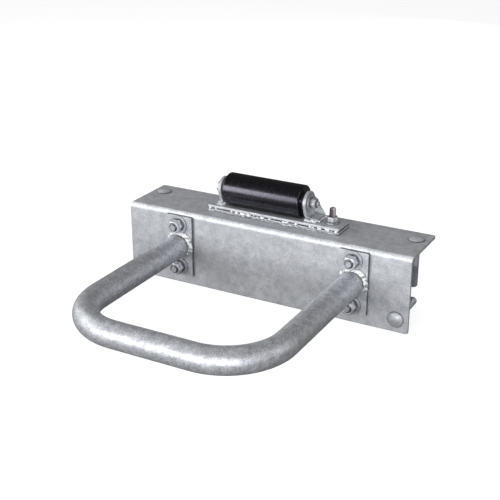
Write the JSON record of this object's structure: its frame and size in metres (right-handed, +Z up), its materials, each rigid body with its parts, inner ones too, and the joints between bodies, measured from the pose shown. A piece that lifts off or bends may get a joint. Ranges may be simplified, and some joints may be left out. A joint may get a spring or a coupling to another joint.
{
  "type": "piling hoop roller",
  "caption": "Galvanised bracket that holds a floating dock to a piling: a bent pipe hoop on a steel angle, with a black roller that runs on the piling.",
  "frame": {"origin": "the dock's edge corner at the middle of the angle, where the deck's top meets the dock's face", "axes": "+X along the dock's edge to the right as seen from the water, +Y back over the deck, +Z up"},
  "size_m": [0.6096, 0.5388, 0.2299],
  "materials": {
    "galvanised_angle": "hot-dip galvanised, mottled spangle",
    "galvanised_pipe": "hot-dip galvanised, cloudy with bright streaks",
    "galvanised_plate": "hot-dip galvanised",
    "galvanised_strip": "hot-dip galvanised, rough along its edges",
    "galvanised_ear": "hot-dip galvanised",
    "galvanised_weld": "galvanised weld bead, bright and uneven",
    "galvanised_fastener": "galvanised, satin",
    "black_rubber": "smooth, soft sheen",
    "bush_plastic": "matt"
  },
  "bodies": {
    "frame": {"dock_angle": "galvanised_angle", "hoop_pipe": "galvanised_pipe", "left_hoop_plate": "galvanised_plate", "right_hoop_plate": "galvanised_plate", "left_hoop_weld": "galvanised_weld", "right_hoop_weld": "galvanised_weld", "hoop_bolts": "galvanised_fastener", "hoop_nuts": "galvanised_fastener", "hoop_lock_washers": "galvanised_fastener", "hoop_flat_washers": "galvanised_fastener", "deck_carriage_bolts": "galvanised_fastener", "fascia_carriage_bolts": "galvanised_fastener", "roller_pad_plate": "galvanised_strip", "roller_base_plate": "galvanised_strip", "base_plate_weld": "galvanised_weld", "left_roller_ear": "galvanised_ear", "right_roller_ear": "galvanised_ear", "left_ear_weld": "galvanised_weld", "right_ear_weld": "galvanised_weld", "axle_bolt": "galvanised_fastener", "axle_nut": "galvanised_fastener", "left_axle_washer": "galvanised_fastener", "right_axle_washer": "galvanised_fastener", "left_roller_spacer": "galvanised_fastener", "right_roller_spacer": "galvanised_fastener", "base_bolt": "galvanised_fastener", "base_nut": "galvanised_fastener", "base_washer": "galvanised_fastener"},
    "roller": {"roller": "black_rubber", "roller_bushes": "bush_plastic"}
  },
  "joints": [
    {"name": "roller_spin", "type": "hinge", "parent": "frame", "child": "roller", "pos_m": [0, 0.05715, 0.05205], "axis": [1, 0, 0], "continuous": true}
  ]
}
